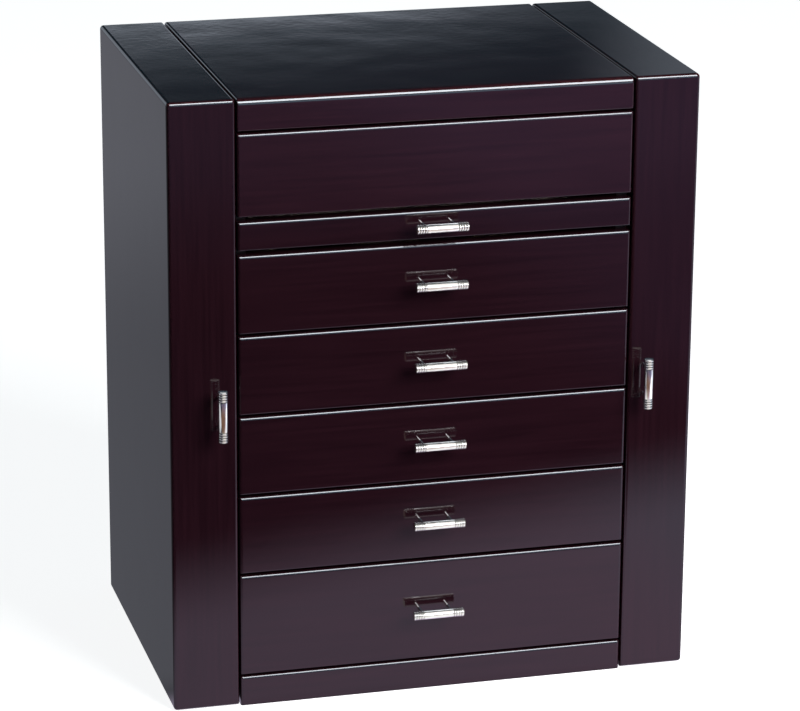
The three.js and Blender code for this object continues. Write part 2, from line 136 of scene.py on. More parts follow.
# ---------------- node helpers
class Nodes:
    """A small helper that adds nodes to a material or world and joins them."""

    def __init__(self, owner):
        owner.use_nodes = True
        self.tree = owner.node_tree
        self.tree.nodes.clear()

    def add(self, kind, inputs=None, **settings):
        node = self.tree.nodes.new(kind)
        for name, value in settings.items():
            setattr(node, name, value)
        for name, value in (inputs or {}).items():
            if isinstance(value, bpy.types.NodeSocket):
                self.tree.links.new(value, node.inputs[name])
            else:
                node.inputs[name].default_value = value
        return node

    def math(self, operation, a, b):
        return self.add("ShaderNodeMath", {0: a, 1: b}, operation=operation).outputs[0]

    def times(self, a, b):
        return self.math("MULTIPLY", a, b)

    def weighted(self, a, share, b):
        """A share of a and the rest of b."""
        return self.math("ADD", self.times(a, share), self.times(b, 1 - share))

    def scaled(self, colour, scale):
        return self.add("ShaderNodeVectorMath", {0: colour, "Scale": scale}, operation="SCALE").outputs[0]

    def plus(self, a, b):
        return self.add("ShaderNodeVectorMath", {0: a, 1: b}, operation="ADD").outputs[0]

    def remap(self, value, low, high, to_low=0.0, to_high=1.0, smooth=True):
        kind = "SMOOTHSTEP" if smooth else "LINEAR"
        inputs = {"Value": value, "From Min": low, "From Max": high, "To Min": to_low, "To Max": to_high}
        return self.add("ShaderNodeMapRange", inputs, interpolation_type=kind).outputs[0]

    def noise(self, waves, detail, roughness=0.5, distortion=0.0):
        """Noise in object coordinates, with so many waves per metre along each axis."""
        where = self.add("ShaderNodeTexCoord").outputs["Object"]
        stretched = self.add("ShaderNodeMapping", {"Vector": where, "Scale": waves}).outputs[0]
        inputs = {
            "Vector": stretched, "Scale": 1.0, "Detail": detail, "Roughness": roughness,
            "Distortion": distortion,
        }
        return self.add("ShaderNodeTexNoise", inputs).outputs["Fac"]

    def axes(self, coordinates):
        """x, y and z of the object's own or the generated coordinates."""
        where = self.add("ShaderNodeTexCoord").outputs[coordinates]
        return self.add("ShaderNodeSeparateXYZ", {0: where}).outputs[:]

    def attribute(self, name):
        return self.add("ShaderNodeAttribute", attribute_name=name).outputs["Fac"]

    def ramp(self, value, *stops):
        node = self.add("ShaderNodeValToRGB", {"Fac": value})
        elements = node.color_ramp.elements
        elements[0].position, elements[0].color = stops[0][0], (*stops[0][1], 1)
        elements[1].position, elements[1].color = stops[-1][0], (*stops[-1][1], 1)
        for position, colour in stops[1:-1]:
            elements.new(position).color = (*colour, 1)
        return node.outputs["Color"]

    def mix(self, share, a, b):
        inputs = {0: share, 6: a, 7: b}
        return self.add("ShaderNodeMix", inputs, data_type="RGBA").outputs[2]

    def bump(self, height, distance, strength, normal=None):
        inputs = {"Height": height, "Distance": distance, "Strength": strength}
        if normal is not None:
            inputs["Normal"] = normal
        return self.add("ShaderNodeBump", inputs).outputs[0]

    def seen_by_camera(self, seen, otherwise):
        """One shader for the camera, and another for every other ray."""
        camera_ray = self.add("ShaderNodeLightPath").outputs["Is Camera Ray"]
        inputs = {0: camera_ray, 1: otherwise.outputs[0], 2: seen.outputs[0]}
        return self.add("ShaderNodeMixShader", inputs).outputs[0]

    def surface(self, shader):
        self.add("ShaderNodeOutputMaterial", {"Surface": shader})

    def principled(self, inputs):
        self.surface(self.add("ShaderNodeBsdfPrincipled", inputs).outputs[0])


def new_material(name):
    material = bpy.data.materials.new(name)
    return material, Nodes(material)


# ---------------- materials
WINE_DARK = (0.0112, 0.0030, 0.0052)
WINE_LIGHT = (0.0205, 0.0057, 0.0092)
# red for rounded edges: partly rub-through of the stain, partly painted light where the edges face up
RUBBED_AND_LIT_RED = (0.060, 0.012, 0.012)
# brown for the pulls' grooves: partly tarnish, partly painted shade
TARNISH_AND_SHADE = (0.13, 0.085, 0.06)
LEVEL_PULL_RECESS_SHARE = 0.4  # share of the grooves' tarnish and painted shade that the drawer pulls keep; the wing pulls keep all of it
ALONG = {"x": (9, 260, 260), "y": (260, 9, 260), "z": (260, 260, 9)}  # grain's waves per metre


def lacquer(name, grain_axis, tone=1.0):
    """Dark wine stain over fine straight grain, under a clear gloss coat, thin at the edges, where a
    lighter red is partly rub-through and partly painted light on the edges that face up.
    """
    material, n = new_material(name)
    fine = n.noise(ALONG[grain_axis], 6.0, 0.62, 0.3)
    cloudy = n.noise((7, 7, 7), 2.0)
    dark, light = (tuple(tone * channel for channel in wine) for wine in (WINE_DARK, WINE_LIGHT))
    stain = n.ramp(n.weighted(fine, 0.75, cloudy), (0.3, dark), (0.7, light))
    edge_red_patches = n.remap(n.noise((60, 60, 60), 4.0), 0.35, 0.75, 0.35, 0.9)
    peel = n.noise((170, 170, 170), 1.0)
    wavy = n.noise((16, 16, 16), 1.0)
    n.principled({
        # the red edge colour: partly rub-through, partly painted light on edges that face up
        "Base Color": n.mix(n.times(n.attribute("rub"), edge_red_patches), stain, (*RUBBED_AND_LIT_RED, 1)),
        "Roughness": n.remap(fine, 0.2, 0.8, 0.4, 0.6),
        "Specular IOR Level": 0.0,
        "Normal": n.bump(fine, 0.00005, 0.35),
        "Coat Weight": 1.0,
        "Coat Roughness": 0.05,
        "Coat IOR": 1.5,
        "Coat Normal": n.bump(wavy, 0.0009, 0.12, n.bump(peel, 0.00006, 0.2)),
    })
    return material


def stained_board():
    """The carcass and drawer boxes: dark stain, darkened further as painted shade where the carcass shows
    in the gaps between the fronts; satin, with open grain.
    """
    material, n = new_material("stained_board")
    fine = n.noise((260, 14, 260), 6.0, 0.65, 0.4)
    tone = n.weighted(fine, 0.7, n.noise((9, 9, 9), 3.0))
    # dark stain, made darker as painted shade for the gaps between the fronts
    dark, middle, light = (0.010, 0.0045, 0.005), (0.020, 0.009, 0.009), (0.033, 0.015, 0.014)
    n.principled({
        "Base Color": n.ramp(tone, (0.3, dark), (0.55, middle), (0.75, light)),
        "Roughness": n.remap(tone, 0.3, 0.8, 0.4, 0.62),
        "Specular IOR Level": 0.2,
        "Normal": n.bump(fine, 0.00012, 0.5),
    })
    return material


def velvet():
    """Short-pile velvet: soft sheen, brushed patches and a fine nap."""
    material, n = new_material("velvet")
    nap = n.noise((2600, 2600, 2600), 2.0)
    brushed = n.noise((22, 30, 26), 4.0, 0.6, 0.8)
    dark, middle, light = (0.42, 0.35, 0.27), (0.48, 0.41, 0.32), (0.54, 0.47, 0.38)
    tone = n.weighted(nap, 0.35, brushed)
    n.principled({
        "Base Color": n.ramp(tone, (0.3, dark), (0.52, middle), (0.72, light)),
        "Roughness": n.remap(nap, 0.3, 0.7, 0.82, 1.0),
        "Specular IOR Level": 0.15,
        "Sheen Weight": 0.8,
        "Sheen Roughness": 0.35,
        "Sheen Tint": (1.0, 0.95, 0.86, 1),
        "Normal": n.bump(n.math("ADD", nap, n.times(brushed, 0.6)), 0.0004, 0.6),
    })
    return material


def polished_metal(name, tint, roughness):
    """Plated metal with faint brushing and handling marks, and tarnish with painted shade where it is
    recessed, darker the deeper.
    """
    material, n = new_material(name)
    brushed = n.noise((900, 5200, 5200), 2.0)
    handled = n.noise((190, 190, 190), 5.0, 0.65)
    darker = tuple(0.86 * channel for channel in tint)
    plated = n.ramp(handled, (0.3, darker), (0.6, tint))
    n.principled({
        # tarnish and painted shade in the grooves
        "Base Color": n.mix(n.attribute("recess"), plated, (*TARNISH_AND_SHADE, 1)),
        "Metallic": 1.0,
        "Roughness": n.remap(handled, 0.3, 0.75, roughness, roughness + 0.12),
        "Normal": n.bump(brushed, 0.00001, 0.3),
    })
    return material


def mirror():
    """Silvered glass with a trace of haze."""
    material, n = new_material("mirror_glass")
    haze = n.noise((35, 35, 35), 5.0, 0.7)
    n.principled({
        "Base Color": n.ramp(haze, (0.3, (0.86, 0.89, 0.89)), (0.6, (0.92, 0.94, 0.94))),
        "Metallic": 1.0,
        "Roughness": n.remap(haze, 0.4, 0.8, 0.01, 0.05),
    })
    return material


LACQUER = {axis: lacquer(f"wine_lacquer_{axis}", axis) for axis in "xyz"}
LACQUER["lid"] = lacquer("wine_lacquer_lid", "x", 1.25)
BOARD = stained_board()
VELVET = velvet()
NICKEL = polished_metal("polished_nickel", (0.90, 0.875, 0.845), 0.16)
STEEL = polished_metal("plated_steel", (0.56, 0.57, 0.59), 0.3)
MIRROR = mirror()


# ---------------- mesh helpers
def make_object(name, data):
    thing = bpy.data.objects.new(name, data)
    bpy.context.scene.collection.objects.link(thing)
    return thing


def shade_smooth(mesh, sharp_degrees=None):
    """Smooth faces, with a crease where two meet at more than the sharp angle."""
    mesh.polygons.foreach_set("use_smooth", [True] * len(mesh.polygons))
    if sharp_degrees is not None:
        mesh.set_sharp_from_angle(angle=math.radians(sharp_degrees))


def mesh_object(name, points, faces, sharp_degrees=35):
    mesh = bpy.data.meshes.new(name)
    mesh.from_pydata([tuple(point) for point in points], [], faces)
    mesh.validate()
    shade_smooth(mesh, sharp_degrees)
    return make_object(name, mesh)


def evaluated_mesh(thing):
    bpy.context.view_layer.update()
    graph = bpy.context.evaluated_depsgraph_get()
    return bpy.data.meshes.new_from_object(thing.evaluated_get(graph), depsgraph=graph)


def bake_modifiers(thing):
    """Replaces an object's mesh by what its modifiers make of it."""
    mesh = evaluated_mesh(thing)
    thing.modifiers.clear()
    thing.data = mesh
    return thing


def ease_edges(thing, width, sharp_degrees=50):
    """Bevels each edge that is sharper than the angle."""
    ease = thing.modifiers.new("ease", "BEVEL")
    ease.limit_method = "ANGLE"
    ease.angle_limit = math.radians(sharp_degrees)
    ease.width = width
    ease.segments = 2


def cut_out(thing, cutter):
    """Cuts one object's shape out of another, and removes it."""
    cut = thing.modifiers.new("cut", "BOOLEAN")
    cut.object = cutter
    cut.operation = "DIFFERENCE"
    cut.solver = "EXACT"
    bake_modifiers(thing)
    bpy.data.objects.remove(cutter)


def at_points(mesh, what):
    """The place or the normal at each of a mesh's points, as rows of three."""
    values = np.zeros(len(mesh.vertices) * 3, np.float32)
    mesh.vertices.foreach_get(what, values)
    return values.reshape(-1, 3)


def store(mesh, name, values):
    """Keeps one number at each point of a mesh, for its material to read."""
    attribute = mesh.attributes.new(name, "FLOAT", "POINT")
    attribute.data.foreach_set("value", values.astype(np.float32))


def mark_rubbed_and_lit_edges(mesh, most=1.0):
    """Stores how far each point's normal leans off the axes, for the red of rub-through and painted light
    on rounded edges: the most on those that face up, where light falls, and 0 on faces."""
    normals = at_points(mesh, "normal")
    lean = (1 - np.abs(normals).max(1)) / 0.25
    # painted light: edges that face up get the most red, as if lit from above
    upward = np.clip(normals[:, 2] * 2, 0.12, 1)
    store(mesh, "rub", most * np.clip(lean, 0, 1) * upward)


def mark_recesses(mesh, middle, along, half, depth_shown):
    """Marks the grooves between a pull's beads, darker the deeper they go: tarnish and painted shade."""
    places = at_points(mesh, "co") - np.array(middle, np.float32)
    along = np.array(along, np.float32)
    travel = places @ along
    radius = np.linalg.norm(places - travel[:, None] * along, axis=1)
    # painted shade: the deeper into a groove, the darker
    depth = (BAR_RADIUS - 0.3 * MM - radius) / (0.45 * MM)
    first, last = half - BEADS * BEAD_PITCH - 0.4 * MM, half - 0.3 * MM
    beaded = (np.abs(travel) > first) & (np.abs(travel) < last)
    store(mesh, "recess", np.where(beaded, depth_shown * np.clip(depth, 0, 1), 0))


def even_normals(thing):
    """Keeps wide faces flat in reflections beside their rounded edges."""
    shade_smooth(thing.data)
    weighted = thing.modifiers.new("even_normals", "WEIGHTED_NORMAL")
    weighted.keep_sharp = True
    weighted.weight = 100
    return thing


def piece(thing, body, material, *replaced):
    """Gives an object its material and body, and hides the CAD nodes it stands for."""
    thing.data.materials.clear()
    thing.data.materials.append(material)
    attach(thing, body)
    if replaced:
        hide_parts(*replaced)


FACES = {"L": (0, -1), "R": (0, 1), "F": (1, -1), "B": (1, 1), "D": (2, -1), "U": (2, 1)}


def bevelled_box(low, high, rounds=None, least=SOFT_EDGE, steps=ARC_STEPS):
    """A board with rounded edges. rounds gives a radius to an edge such as FU (front and
    upper face) or to all edges of a face such as F; the others get the least radius."""
    rounds = rounds or {}
    low, high = Vector(low), Vector(high)
    centre, size = (low + high) / 2, high - low
    bm = bmesh.new()
    bmesh.ops.create_cube(bm, size=1)
    weight = bm.edges.layers.float.new("bevel_weight_edge")
    for vert in bm.verts:
        vert.co = centre + vert.co * size
    by_radius = {}
    for edge in bm.edges:
        middle = (edge.verts[0].co + edge.verts[1].co) / 2 - centre
        touching = [
            letter for letter, (axis, sign) in FACES.items()
            if abs(2 * middle[axis] * sign - size[axis]) < 1e-7
        ]
        pair = "".join(touching)
        widest_face = max(rounds.get(letter, least) for letter in touching)
        by_radius[edge] = rounds.get(pair, widest_face)
    widest = max(by_radius.values())
    for edge, radius in by_radius.items():
        edge[weight] = radius / widest
    mesh = bpy.data.meshes.new("board")
    bm.to_mesh(mesh)
    bm.free()
    thing = make_object("board", mesh)
    bevel = thing.modifiers.new("rounding", "BEVEL")
    bevel.limit_method = "WEIGHT"
    bevel.width = widest
    bevel.segments = steps
    return bake_modifiers(thing)


def finished(thing, name, rub=1.0):
    """Names a board, marks its edges for rub-through and painted light, and keeps its faces even."""
    thing.name = name
    thing.data.name = name
    mark_rubbed_and_lit_edges(thing.data, rub)
    return even_normals(thing)


def board(name, low, high, rounds, least=SOFT_EDGE, steps=ARC_STEPS):
    return finished(bevelled_box(low, high, rounds, least, steps), name)


def front_board(name, low, high):
    """A board whose front edges curve away and end short, at a crisp corner."""
    spare = FRONT_ROUND * (1 - math.sin(math.radians(FRONT_ARC)))
    grow = Vector((spare, 0, spare))
    thing = bevelled_box(low - grow, high + grow, {"F": FRONT_ROUND, "FD": FRONT_FOOT_ROUND})
    bm = bmesh.new()
    bm.from_mesh(thing.data)
    for corner, sign in ((low, -1), (high, 1)):
        for axis in (0, 2):
            outward = Vector((0, 0, 0))
            outward[axis] = sign
            everything = [*bm.verts, *bm.edges, *bm.faces]
            cut = bmesh.ops.bisect_plane(
                bm, geom=everything, plane_co=corner, plane_no=outward, clear_outer=True,
            )
            rim = [item for item in cut["geom_cut"] if isinstance(item, bmesh.types.BMEdge)]
            bmesh.ops.edgenet_fill(bm, edges=rim)
    bm.to_mesh(thing.data)
    bm.free()
    ease_edges(thing, FRONT_EASE, 32)
    return finished(bake_modifiers(thing), name, FRONT_RUB_AND_LIT)


def carve(thing, low, high, rim=0.5 * MM):
    """Cuts a box out of a board, then softens the sharp rim that the cut leaves."""
    cut_out(thing, bevelled_box(low, high, least=0.3 * MM, steps=1))
    ease_edges(thing, rim)
    bake_modifiers(thing)
    mark_rubbed_and_lit_edges(thing.data)
    even_normals(thing)


def joined(name, things):
    """One object from several, each with its modifiers applied."""
    bm = bmesh.new()
    for thing in things:
        mesh = evaluated_mesh(thing)
        mesh.transform(thing.matrix_world)
        bm.from_mesh(mesh)
        bpy.data.objects.remove(thing)
    mesh = bpy.data.meshes.new(name)
    bm.to_mesh(mesh)
    bm.free()
    return make_object(name, mesh)


def lathe(name, profile, turns):
    """A solid of revolution about Z from (radius, height) points. Either both ends lie on the
    axis, or the profile is a closed loop clear of it."""
    points, rings, faces = [], [], []
    for radius, height in profile:
        count = turns if radius > 1e-9 else 1
        rings.append(range(len(points), len(points) + count))
        for turn in range(count):
            angle = 2 * math.pi * turn / turns
            points.append((radius * math.cos(angle), radius * math.sin(angle), height))
    if len(rings[0]) > 1:
        rings.append(rings[0])
    for lower, upper in zip(rings, rings[1:]):
        for turn in range(turns):
            after = (turn + 1) % turns
            if len(lower) == 1:
                faces.append((lower[0], upper[after], upper[turn]))
            elif len(upper) == 1:
                faces.append((lower[turn], lower[after], upper[0]))
            else:
                faces.append((lower[turn], lower[after], upper[after], upper[turn]))
    return mesh_object(name, points, faces)


def loft(name, loops, sharp_degrees=35):
    """A closed skin over loops that have the same number of points each."""
    count = len(loops[0])
    points = [point for loop in loops for point in loop]
    faces = []
    for index in range(len(loops) - 1):
        for step in range(count):
            after = (step + 1) % count
            start, end = index * count, (index + 1) * count
            faces.append((start + step, start + after, end + after, end + step))
    faces.append(tuple(reversed(range(count))))
    faces.append(tuple(range((len(loops) - 1) * count, len(loops) * count)))
    return mesh_object(name, points, faces, sharp_degrees)


def tube(name, route, radius, around):
    """A round rod with flat ends along a list of points."""
    angles = [2 * math.pi * step / around for step in range(around)]
    across = (route[1] - route[0]).normalized().orthogonal().normalized()
    loops = []
    for index, centre in enumerate(route):
        after = route[min(index + 1, len(route) - 1)]
        ahead = (after - route[max(index - 1, 0)]).normalized()
        across = (across - ahead * across.dot(ahead)).normalized()
        other = ahead.cross(across)
        loops.append([
            centre + radius * (math.cos(angle) * across + math.sin(angle) * other)
            for angle in angles
        ])
    return loft(name, loops)


def smooth_route(points):
    """Points along a Catmull-Rom curve through the given ones."""
    knots = [Vector(point) for point in points]
    knots = [2 * knots[0] - knots[1], *knots, 2 * knots[-1] - knots[-2]]
    route, steps = [], 10
    for a, b, c, d in zip(knots, knots[1:], knots[2:], knots[3:]):
        for step in range(steps):
            t = step / steps
            route.append(0.5 * (
                2 * b + (c - a) * t + (2 * a - 5 * b + 4 * c - d) * t * t
                + (3 * b - a - 3 * c + d) * t ** 3
            ))
    return [*route, knots[-2]]


def box_of(*nodes):
    """The lowest and highest corners of CAD nodes together."""
    lows, highs = zip(*(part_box(node) for node in nodes))
    return Vector([min(values) for values in zip(*lows)]), Vector([max(values) for values in zip(*highs)])


# ---------------- soft helpers
def grid_lines(low, high, rounding, cell):
    """Grid lines along one axis of a soft block, close together in its rounded ends."""
    inner = max(1, round((high - low - 2 * rounding) / cell))
    middle = [low + rounding + (high - low - 2 * rounding) * step / inner for step in range(inner + 1)]
    lead = [0, 0.1 * rounding, 0.35 * rounding, 0.65 * rounding]
    return [*(low + step for step in lead), *middle, *(high - step for step in reversed(lead))]


def soft_block(low, high, rounding, cell, face="U", crown=0.0, bumps=0.0, waves=45):
    """A fabric-covered block: rounded all round, crowned on one face and a little uneven."""
    grids = [grid_lines(low[axis], high[axis], rounding, cell) for axis in range(3)]
    last = [len(grid) - 1 for grid in grids]
    centre, half = (Vector(low) + Vector(high)) / 2, (Vector(high) - Vector(low)) / 2
    points, faces, index_of = [], [], {}
    crown_axis, crown_sign = FACES[face]
    beside = [axis for axis in range(3) if axis != crown_axis]

    def point(*steps):
        if steps not in index_of:
            raw = Vector([grids[axis][steps[axis]] for axis in range(3)])
            core = Vector([
                min(max(raw[axis], low[axis] + rounding), high[axis] - rounding) for axis in range(3)
            ])
            out = raw - core
            spot = core + out.normalized() * rounding if out.length > 1e-9 else raw
            u, v = ((spot[axis] - centre[axis]) / half[axis] for axis in beside)
            side = crown_sign * (spot[crown_axis] - centre[crown_axis]) / half[crown_axis]
            rise = crown * max(0, side) * (1 - abs(u) ** 4) * (1 - abs(v) ** 4)
            rough = bumps * noise.noise(spot * waves) * max(0, side)
            spot[crown_axis] += crown_sign * (rise + rough)
            index_of[steps] = len(points)
            points.append(spot)
        return index_of[steps]

    for axis in range(3):
        a, b = (axis + 1) % 3, (axis + 2) % 3
        for end in (0, last[axis]):
            for i in range(last[a]):
                for j in range(last[b]):
                    corners = []
                    for di, dj in ((0, 0), (1, 0), (1, 1), (0, 1)):
                        steps = [0, 0, 0]
                        steps[axis], steps[a], steps[b] = end, i + di, j + dj
                        corners.append(point(*steps))
                    faces.append(corners if end else corners[::-1])
    return mesh_object("soft_block", points, faces, 60)


# ---------------- screws
def screw_mesh():
    """A countersunk screw head with a cross recess, its rim at z 0 and facing up."""
    radius = SCREW_RADIUS
    head = lathe("screw", [
        (0, -1.2 * MM), (0.35 * radius, -1.2 * MM), (radius, -0.15 * MM), (radius, 0),
        (0.92 * radius, 0.12 * MM), (0.5 * radius, 0.26 * MM), (0, 0.3 * MM),
    ], 24)
    for turn in (0, math.pi / 2):
        arm = bevelled_box(
            (-0.62 * radius, -0.15 * radius, -0.5 * MM), (0.62 * radius, 0.15 * radius, 1 * MM),
            least=0.05 * MM, steps=1,
        )
        arm.matrix_world = Matrix.Rotation(turn + 0.4, 4, "Z")
        cut_out(head, arm)
    mesh = head.data
    bpy.data.objects.remove(head)
    shade_smooth(mesh, 30)
    return mesh


SCREW = screw_mesh()


def screws(places):
    """Screw heads at places, facing the back and each turned its own way."""
    turn_back = Matrix.Rotation(-math.pi / 2, 4, "X")
    heads = []
    for index, place in enumerate(places):
        head = make_object("screw_head", SCREW)
        spin = Matrix.Rotation(0.7 + 1.9 * index, 4, "Z")
        head.matrix_world = Matrix.Translation(place) @ turn_back @ spin
        heads.append(head)
    return heads


# ---------------- pulls
def bar_profile(length):
    """The bar's outline: bead rings at each end and a plain middle, as (radius, place)."""
    half = length / 2
    end = [(0, -half), (BAR_RADIUS - 0.45 * MM, -half), (BAR_RADIUS - 0.2 * MM, -half + 0.12 * MM)]
    for bead in range(BEADS):
        start = -half + bead * BEAD_PITCH
        for step in range(1, 8):
            t = step / 8
            swell = math.sin(math.pi * t) ** 0.7
            end.append((BAR_RADIUS - BEAD_GROOVE * (1 - swell), start + t * BEAD_PITCH))
        end.append((BAR_RADIUS - BEAD_GROOVE, start + BEAD_PITCH))
    plain = -half + BEADS * BEAD_PITCH
    end.append((BAR_MIDDLE_RADIUS - 0.1 * MM, plain + 0.25 * MM))
    end.append((BAR_MIDDLE_RADIUS, plain + 0.6 * MM))
    return [*end, *((radius, -place) for radius, place in reversed(end))]


def post_profile(reach):
    """A plain post from the wood at 0 into the bar."""
    top = reach - BAR_MIDDLE_RADIUS + 1 * MM
    return [(0, 0), (POST_RADIUS, 0), (POST_RADIUS, top), (0, top)]


def pull(name, body):
    """A turned bar on two posts, in the place of its CAD node."""
    low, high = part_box(name)
    upright = high.z - low.z > high.x - low.x
    centre = (low + high) / 2
    middle = (centre.x, low.y + BAR_RADIUS, centre.z)
    length = max(high.z - low.z, high.x - low.x)
    reach = high.y + 0.3 * MM - middle[1]
    bar = lathe("bar", bar_profile(length), 64)
    turn = Matrix.Identity(4) if upright else Matrix.Rotation(math.pi / 2, 4, "Y")
    bar.matrix_world = Matrix.Translation(middle) @ turn
    along = Vector((0, 0, 1)) if upright else Vector((1, 0, 0))
    parts = [bar]
    for end in (-1, 1):
        post = lathe("post", post_profile(reach), 24)
        foot = Vector((centre.x, high.y + 0.25 * MM, centre.z)) + along * end * POST_CENTRES / 2
        post.matrix_world = Matrix.Translation(foot) @ Matrix.Rotation(math.pi / 2, 4, "X")
        parts.append(post)
    whole = joined(f"{name}_turned", parts)
    mark_recesses(whole.data, middle, along, length / 2, 1 if upright else LEVEL_PULL_RECESS_SHARE)
    piece(whole, body, NICKEL, name)


# ---------------- woodwork
def lacquered(node, body, finish="x"):
    piece(front_board(f"{node}_lacquered", *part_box(node)), body, LACQUER[finish], node)


def softened(node, material, width=0.4 * MM):
    """A CAD node shown as it is, with its edges eased and a finished material."""
    thing = frame["nodes"][node]
    thing.data.materials.clear()
    thing.data.materials.append(material)
    ease_edges(thing, width)


def case():
    lacquered("fascia", "case", "lid")
    lacquered("plinth", "case")
    for node in ("case_wall_left", "case_wall_right", "case_back", "case_floor", "tray_floor"):
        softened(node, BOARD)
    for side in SIDES:
        softened(f"wing_magnet_{side}", STEEL)


def lid():
    """The lid's board, hollowed below for the mirror and its moulding."""
    low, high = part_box("lid_panel")
    recess_low, recess_high = box_of("lid_mirror", "mirror_frame")
    slab = bevelled_box(low, high, LID_ROUNDS)
    slab.name = "lid_panel_lacquered"
    margin = Vector((0.3 * MM, 0.3 * MM, 0))
    carve(
        slab, Vector((*(recess_low - margin).xy, low.z - 5 * MM)),
        Vector((*(recess_high + margin).xy, recess_high.z + 0.3 * MM)),
    )
    piece(slab, "lid", LACQUER["lid"], "lid_panel")
    mirror_low, mirror_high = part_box("lid_mirror")
    glass = board("lid_mirror_glass", mirror_low, mirror_high, {"D": 0.9 * MM}, 0.2 * MM, 2)
    piece(glass, "lid", MIRROR, "lid_mirror")
    moulding()


def moulding():
    """The lid's mirror moulding: one profile swept round a rectangle with mitred corners."""
    low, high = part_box("mirror_frame")
    thick = high.z - low.z
    profile = [
        (0, 0), (0, -0.7), (0.05, -0.95), (0.14, -1), (0.42, -1), (0.5, -0.86), (0.58, -0.84),
        (0.66, -0.7), (0.8, -0.42), (0.92, -0.28), (1, -0.24), (1, 0),
    ]
    points, faces = [], []
    for inset, drop in profile:
        x0, x1 = low.x + inset * MOULDING_WIDTH, high.x - inset * MOULDING_WIDTH
        y0, y1 = low.y + inset * MOULDING_WIDTH, high.y - inset * MOULDING_WIDTH
        z = high.z + drop * thick
        points.extend([(x0, y0, z), (x1, y0, z), (x1, y1, z), (x0, y1, z)])
    count = len(profile)
    for index in range(count):
        after = (index + 1) % count
        for corner in range(4):
            beside = (corner + 1) % 4
            faces.append((
                4 * index + corner, 4 * index + beside, 4 * after + beside, 4 * after + corner,
            ))
    thing = mesh_object("mirror_moulding", points, faces, 25)
    bm = bmesh.new()
    bm.from_mesh(thing.data)
    bmesh.ops.recalc_face_normals(bm, faces=bm.faces)
    bm.to_mesh(thing.data)
    bm.free()
    mark_rubbed_and_lit_edges(thing.data)
    piece(thing, "lid", LACQUER["y"], "mirror_frame")


def wing(name, side):
    """The wing's shell with no seams: one rounded block, hollowed from its inner face."""
    shell_nodes = [f"{name}_side_panel", f"{name}_front_panel", f"{name}_frame"]
    low, high = box_of(*shell_nodes)
    inner, outer = INNER[side], INNER[-side]
    rounds = {letter: WING_ROUND for letter in ("F", "U", outer, "FD")}
    rounds.update({f"{inner}{letter}": radius for letter, radius in WING_INNER_ROUNDS.items()})
    rounds.update({f"{inner}D": SOFT_EDGE, f"{inner}B": SOFT_EDGE, "BD": WING_BACK_FOOT_ROUND})
    shell = bevelled_box(low, high, rounds)
    shell.name = f"{name}_shell"
    side_low, side_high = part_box(f"{name}_side_panel")
    hollow_low = Vector((0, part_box(f"{name}_front_panel")[1].y, low.z + WING_RAIL))
    hollow_high = Vector((0, high.y - WING_BACK, high.z - WING_RAIL))
    if side < 0:
        hollow_low.x, hollow_high.x = side_high.x, high.x + 5 * MM
    else:
        hollow_low.x, hollow_high.x = low.x - 5 * MM, side_low.x
    carve(shell, hollow_low, hollow_high, 0.7 * MM)
    piece(shell, name, LACQUER["z"], *shell_nodes)
    pull(f"{name}_pull", name)


# ---------------- linings
def insert(node, body, walls):
    """A drawer's or the tray's velvet insert: a soft floor pad and wrapped dividers. Each wall
    is the axis it stands across, its place on that axis, and its two ends."""
    low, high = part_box(node)
    pad_high = (high.x, high.y, low.z + PAD_THICK)
    parts = [soft_block(low, pad_high, 0.8 * MM, 9 * MM, crown=0.7 * MM, bumps=0.25 * MM)]
    for axis, place, start, end in walls:
        wall_low, wall_high = Vector(low), Vector(high)
        wall_low.z = low.z + 1.2 * MM
        wall_low[axis], wall_high[axis] = place - DIVIDER_HALF, place + DIVIDER_HALF
        wall_low[1 - axis], wall_high[1 - axis] = start, end
        parts.append(soft_block(wall_low, wall_high, 1.3 * MM, 14 * MM, bumps=0.12 * MM, waves=60))
    piece(joined(f"{node}_velvet", parts), body, VELVET, node)


def drawer_insert(name):
    """A drawer's insert, divided into columns and, within them, into lanes."""
    low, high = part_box(f"{name}_insert")
    columns, lanes = COMPARTMENTS.get(name, (1, 1))
    edges = [low.x + (high.x - low.x) * column / columns for column in range(columns + 1)]
    walls = [(0, x, low.y, high.y) for x in edges[1:-1]]
    for lane in range(1, lanes):
        y = low.y + (high.y - low.y) * lane / lanes
        for index in range(columns):
            start = edges[index] + (DIVIDER_STOP if index else 0)
            end = edges[index + 1] - (DIVIDER_STOP if index < columns - 1 else 0)
            walls.append((1, y, start, end))
    insert(f"{name}_insert", name, walls)


def tray():
    low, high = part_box("tray_dividers")
    middle = (low.y + high.y) / 2
    insert("tray_dividers", "case", [
        (0, -TRAY_PARTITION, low.y, high.y), (0, TRAY_PARTITION, low.y, high.y),
        (1, middle, TRAY_PARTITION + DIVIDER_STOP, high.x),
    ])


